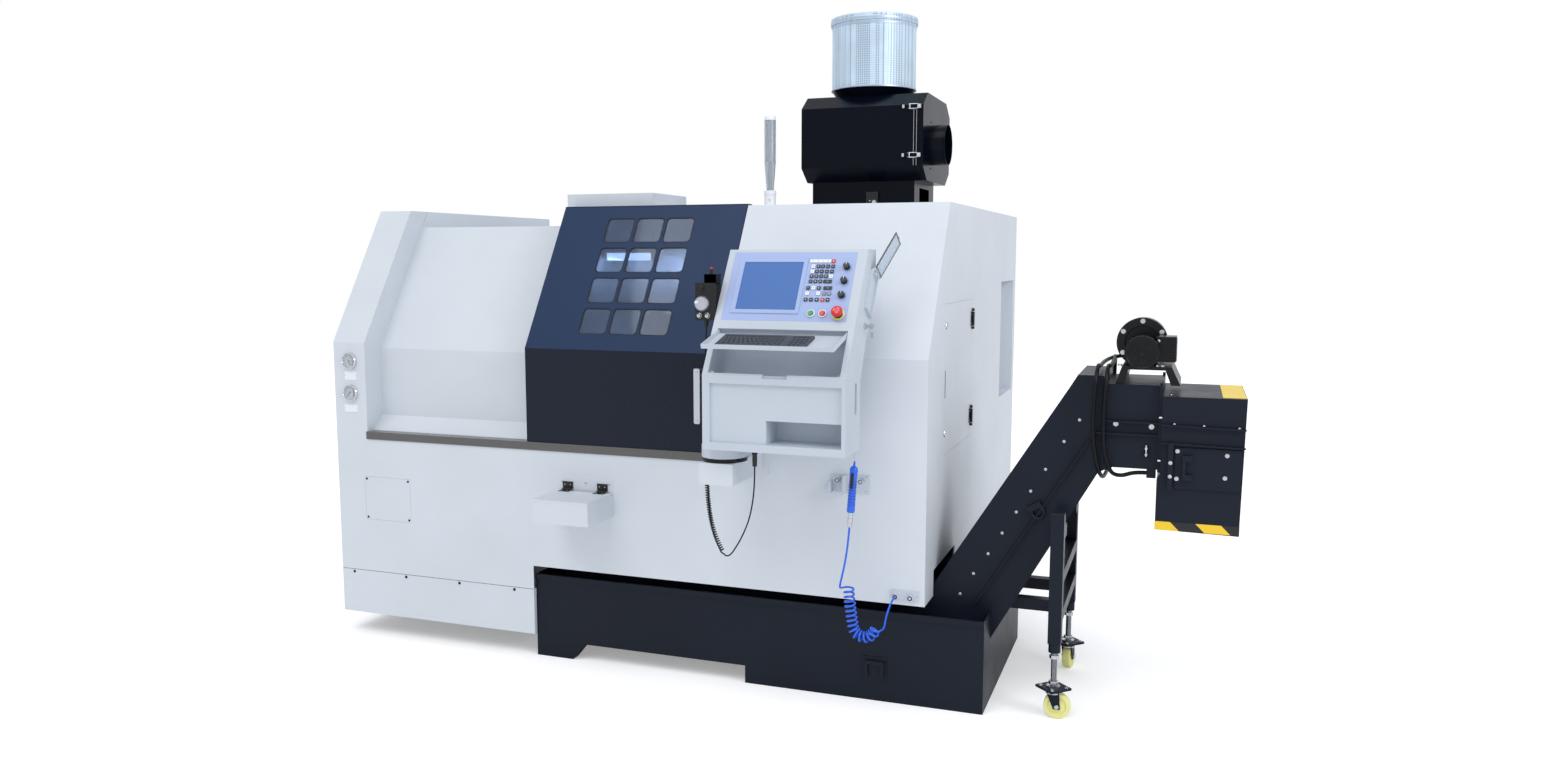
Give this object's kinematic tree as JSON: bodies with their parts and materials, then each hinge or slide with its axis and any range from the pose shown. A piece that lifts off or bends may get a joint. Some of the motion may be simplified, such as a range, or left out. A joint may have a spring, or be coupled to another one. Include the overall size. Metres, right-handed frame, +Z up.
{
  "type": "turning lathe",
  "caption": "Slant-bed turning lathe in sheet covers with a sliding window door, swivelling control pendant, coolant tank, chip conveyor and mist collector.",
  "frame": {"origin": "middle of the footprint on the floor, measured without the cords and hoses", "axes": "+X to the conveyor end, along the spindle axis; +Y from the operator into the machine; +Z up"},
  "size_m": [3.568, 2.5468, 2.582],
  "materials": {
    "white_paint": "semi-gloss enamel",
    "graphite_paint": "fine textured enamel",
    "slate_paint": "smooth satin enamel",
    "black_paint": "gloss enamel",
    "rail_paint": "satin",
    "cast_paint": "machine enamel",
    "window_glass": "clear",
    "handle_plastic": "satin",
    "ground_steel": "ground",
    "liner_steel": "brushed",
    "belt_steel": "rolled",
    "filter_paint": "satin",
    "tower_plastic": "gloss",
    "clear_plastic": "clear",
    "overlay_plastic": "satin film",
    "knob_plastic": "gloss",
    "green_button": "gloss",
    "red_button": "gloss",
    "key_plastic": "matt",
    "dial_aluminium": "satin",
    "key_steel": "polished",
    "gauge_chrome": "polished",
    "fitting_steel": "satin",
    "gun_plastic": "gloss",
    "bowl_plastic": "gloss",
    "cord_rubber": "gloss",
    "hose_plastic": "gloss",
    "wheel_plastic": "satin"
  },
  "bodies": {
    "machine": {"front_cover": "white_paint", "left_cover": "white_paint", "roof_cover": "white_paint", "right_side_cover": "white_paint", "electrical_cabinet": "white_paint", "door_rail": "rail_paint", "machine_bed": "cast_paint", "headstock": "cast_paint", "chamber_liner": "liner_steel", "coolant_tank": "graphite_paint", "conveyor_trough": "graphite_paint", "conveyor_belt": "belt_steel", "discharge_hood": "graphite_paint", "gear_motor": "graphite_paint", "conveyor_stand": "graphite_paint", "collector_stand": "black_paint", "collector_housing": "black_paint", "collector_cover": "black_paint", "collector_filter": "filter_paint", "signal_tower": "tower_plastic", "pendant_bracket": "white_paint", "pressure_gauges": "gauge_chrome", "service_box": "white_paint", "air_fittings": "fitting_steel", "lubrication_unit": "bowl_plastic", "air_hose": "hose_plastic", "air_hose_coil": "hose_plastic", "conveyor_cable": "cord_rubber"},
    "sliding_door": {"front_door": "slate_paint", "door_window": "window_glass", "door_handle": "handle_plastic"},
    "box_lid": {"service_lid": "white_paint"},
    "pendant": {"pendant_housing": "white_paint", "pendant_panel": "overlay_plastic", "handwheel_unit": "knob_plastic", "air_gun": "gun_plastic", "handwheel_cord": "cord_rubber", "handwheel_cord_coil": "cord_rubber"},
    "fold_tray": {"keyboard_tray": "white_paint", "keyboard": "key_plastic"},
    "flap": {"port_flap": "clear_plastic"},
    "mode_selector": {"mode_knob": "knob_plastic"},
    "feed_selector": {"feed_knob": "knob_plastic"},
    "speed_selector": {"speed_knob": "knob_plastic"},
    "start_key": {"start_button": "green_button"},
    "stop_key": {"stop_button": "red_button"},
    "emergency_stop": {"emergency_button": "red_button"},
    "dial": {"handwheel_dial": "dial_aluminium"},
    "lock_key": {"key_switch": "key_steel"},
    "service_door": {"side_door": "white_paint"},
    "main_spindle": {"spindle": "ground_steel"},
    "jaw_1": {"chuck_jaw_1": "ground_steel"},
    "jaw_2": {"chuck_jaw_2": "ground_steel"},
    "jaw_3": {"chuck_jaw_3": "ground_steel"},
    "saddle": {"carriage": "cast_paint"},
    "tool_slide": {"cross_slide": "cast_paint"},
    "tool_disc": {"turret_disc": "ground_steel"},
    "tail": {"tailstock": "cast_paint"},
    "front_wheel": {"caster_wheel_front": "wheel_plastic"},
    "rear_wheel": {"caster_wheel_rear": "wheel_plastic"}
  },
  "joints": [
    {"name": "door_slide", "type": "slide", "parent": "machine", "child": "sliding_door", "axis": [-1, 0, 0], "range_m": [0, 0.765]},
    {"name": "lid_hinge", "type": "hinge", "parent": "machine", "child": "box_lid", "pos_m": [-0.709, -0.84286, 0.7], "axis": [-1, 0, 0], "range_deg": [0, 92]},
    {"name": "pendant_swivel", "type": "hinge", "parent": "machine", "child": "pendant", "pos_m": [0.096, -1.07786, 0.904], "axis": [0, 0, 1], "range_deg": [-90, 5], "deforming": ["handwheel_cord", "handwheel_cord_coil"]},
    {"name": "tray_hinge", "type": "hinge", "parent": "pendant", "child": "fold_tray", "pos_m": [0.32, -1.11965, 1.35249], "axis": [1, 0, 0], "range_deg": [0, 43.9]},
    {"name": "flap_hinge", "type": "hinge", "parent": "pendant", "child": "flap", "pos_m": [0.5853, -0.88892, 1.54695], "axis": [0, 0.8474, -0.5309], "range_deg": [0, 160]},
    {"name": "mode_turn", "type": "hinge", "parent": "pendant", "child": "mode_selector", "pos_m": [0.508, -0.99094, 1.56922], "axis": [0, -0.8474, 0.5309], "range_deg": [-90, 90]},
    {"name": "feed_turn", "type": "hinge", "parent": "pendant", "child": "feed_selector", "pos_m": [0.507, -1.02014, 1.52262], "axis": [0, -0.8474, 0.5309], "range_deg": [-135, 135]},
    {"name": "speed_turn", "type": "hinge", "parent": "pendant", "child": "speed_selector", "pos_m": [0.507, -1.04934, 1.47601], "axis": [0, -0.8474, 0.5309], "range_deg": [-135, 135]},
    {"name": "start_press", "type": "slide", "parent": "pendant", "child": "start_key", "axis": [0, 0.8474, -0.5309], "range_m": [0, 0.003], "stiffness_N_per_m": 300, "springref_m": -0.002},
    {"name": "stop_press", "type": "slide", "parent": "pendant", "child": "stop_key", "axis": [0, 0.8474, -0.5309], "range_m": [0, 0.003], "stiffness_N_per_m": 300, "springref_m": -0.002},
    {"name": "emergency_press", "type": "slide", "parent": "pendant", "child": "emergency_stop", "axis": [0, 0.8474, -0.5309], "range_m": [0, 0.005], "stiffness_N_per_m": 600, "springref_m": -0.003},
    {"name": "dial_turn", "type": "hinge", "parent": "pendant", "child": "dial", "pos_m": [0.023, -1.09516, 1.446], "axis": [0, -1, 0], "continuous": true},
    {"name": "key_turn", "type": "hinge", "parent": "pendant", "child": "lock_key", "pos_m": [0.57, -0.99286, 1.373], "axis": [1, 0, 0], "range_deg": [0, 90]},
    {"name": "side_door_hinge", "type": "hinge", "parent": "machine", "child": "service_door", "pos_m": [0.762, -0.00786, 0.953], "axis": [0, 0, 1], "range_deg": [0, 26]},
    {"name": "spindle_turn", "type": "hinge", "parent": "machine", "child": "main_spindle", "pos_m": [-1.614, -0.35286, 1.06], "axis": [1, 0, 0], "continuous": true},
    {"name": "jaw_1_slide", "type": "slide", "parent": "main_spindle", "child": "jaw_1", "axis": [0, 0, 1], "range_m": [0, 0.008]},
    {"name": "jaw_2_slide", "type": "slide", "parent": "main_spindle", "child": "jaw_2", "axis": [0, -0.866, -0.5], "range_m": [0, 0.008]},
    {"name": "jaw_3_slide", "type": "slide", "parent": "main_spindle", "child": "jaw_3", "axis": [0, 0.866, -0.5], "range_m": [0, 0.008]},
    {"name": "saddle_slide", "type": "slide", "parent": "machine", "child": "saddle", "axis": [1, 0, 0], "range_m": [-0.15, 0.01]},
    {"name": "cross_feed", "type": "slide", "parent": "saddle", "child": "tool_slide", "axis": [0, 0.7071, 0.7071], "range_m": [-0.055, 0.055]},
    {"name": "turret_index", "type": "hinge", "parent": "tool_slide", "child": "tool_disc", "pos_m": [-0.624, -0.16336, 1.20991], "axis": [1, 0, 0], "continuous": true},
    {"name": "tail_slide", "type": "slide", "parent": "machine", "child": "tail", "axis": [1, 0, 0], "range_m": [-0.025, 0]},
    {"name": "front_wheel_roll", "type": "hinge", "parent": "machine", "child": "front_wheel", "pos_m": [1.213, -0.74636, 0.046], "axis": [0, 1, 0], "continuous": true},
    {"name": "rear_wheel_roll", "type": "hinge", "parent": "machine", "child": "rear_wheel", "pos_m": [1.20143, -0.21558, 0.046], "axis": [-0.9848, 0.1736, 0], "continuous": true}
  ],
  "couplings": [
    {"joint": "jaw_2_slide", "follows": "jaw_1_slide", "ratio": 1},
    {"joint": "jaw_3_slide", "follows": "jaw_1_slide", "ratio": 1}
  ]
}
